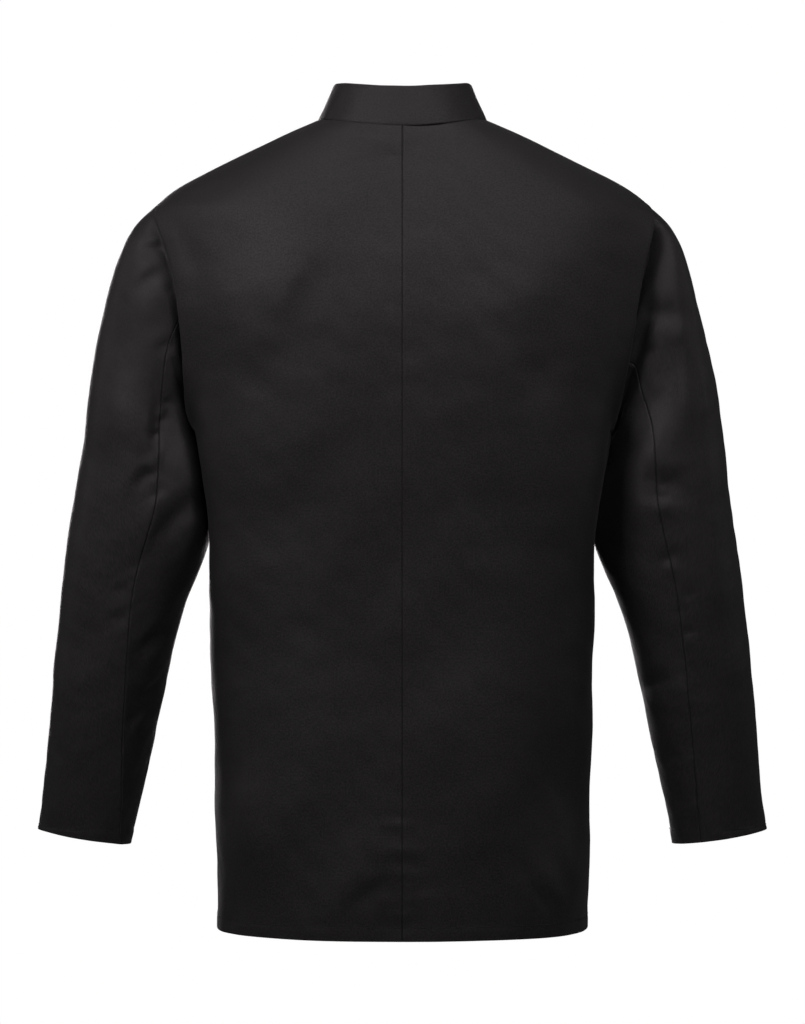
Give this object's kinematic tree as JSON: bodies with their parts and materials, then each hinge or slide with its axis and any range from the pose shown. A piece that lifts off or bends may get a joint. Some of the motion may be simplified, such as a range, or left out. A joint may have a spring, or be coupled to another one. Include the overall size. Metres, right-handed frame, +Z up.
{
  "type": "chef jacket",
  "caption": "Long-sleeved chef jacket in black cotton-blend cloth with a stand-up collar and a double-breasted front, filled out as worn.",
  "frame": {"origin": "middle of the neck opening, level with the points where the shoulder seams meet the collar", "axes": "+Z up along the wearer's spine, -Y the jacket's front, +X the wearer's left"},
  "size_m": [0.6945, 0.27, 0.799],
  "materials": {
    "cloth": "matte black twill",
    "button": "satin black"
  },
  "bodies": {
    "root": {"lower_back_left": "cloth", "upper_back_left": "cloth", "lower_back_right": "cloth", "upper_back_right": "cloth", "lower_front_left": "cloth", "upper_front_left": "cloth", "lower_front_right": "cloth", "upper_front_right": "cloth", "collar": "cloth", "lower_top_sleeve_left": "cloth", "upper_top_sleeve_left": "cloth", "lower_under_sleeve_left": "cloth", "upper_under_sleeve_left": "cloth", "lower_top_sleeve_right": "cloth", "upper_top_sleeve_right": "cloth", "lower_under_sleeve_right": "cloth", "upper_under_sleeve_right": "cloth", "button_left_1": "button", "button_left_2": "button", "button_left_3": "button", "button_left_4": "button", "button_left_5": "button", "button_right_1": "button", "button_right_2": "button", "button_right_3": "button", "button_right_4": "button", "button_right_5": "button"}
  },
  "joints": []
}
